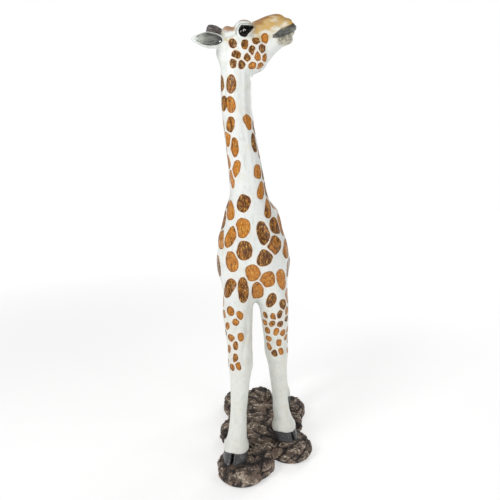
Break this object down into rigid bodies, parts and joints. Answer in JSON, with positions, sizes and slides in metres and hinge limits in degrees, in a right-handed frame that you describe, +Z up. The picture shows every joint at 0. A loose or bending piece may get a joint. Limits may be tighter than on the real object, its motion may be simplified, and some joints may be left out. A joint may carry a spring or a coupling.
{
  "type": "giraffe statue",
  "caption": "Tall standing giraffe statue, painted white with brown patches, head turned to its left, hooves studded to a lobed rock plinth.",
  "frame": {"origin": "middle of the felt's underside, on the ground", "axes": "+Z up the statue; the giraffe faces -Y; +X is the giraffe's own left, the way its head turns"},
  "size_m": [0.389, 0.612, 1.4734],
  "materials": {
    "felt": "pressed felt",
    "rock": "dark brown paint, dry-brushed with gold",
    "hoof_paint": "dark grey satin paint",
    "painted_coat": "white satin paint with brown patches",
    "painted_face": "white and ochre satin paint with brown patches",
    "painted_ear": "white satin paint, dark grey inside",
    "painted_horn": "cream paint with a dark brown tuft",
    "painted_tail": "white paint with a dark brown tuft",
    "eye_glass": "polished black",
    "bare_beech": "bare turned beech",
    "zinc_steel": "zinc plated"
  },
  "bodies": {
    "root": {"felt_sheet": "felt", "rock_plinth": "rock", "front_right_hoof": "hoof_paint", "front_left_hoof": "hoof_paint", "rear_right_hoof": "hoof_paint", "rear_left_hoof": "hoof_paint", "front_right_leg": "painted_coat", "front_left_leg": "painted_coat", "rear_right_leg": "painted_coat", "rear_left_leg": "painted_coat", "torso": "painted_coat", "neck": "painted_coat", "head": "painted_face", "right_ear": "painted_ear", "left_ear": "painted_ear", "right_ossicone": "painted_horn", "left_ossicone": "painted_horn", "right_eye": "eye_glass", "left_eye": "eye_glass", "tail": "painted_tail", "neck_dowel": "bare_beech", "head_dowel": "bare_beech", "leg_dowels": "bare_beech", "hoof_studs": "zinc_steel", "stud_washers": "zinc_steel", "stud_nuts": "zinc_steel"}
  },
  "joints": []
}
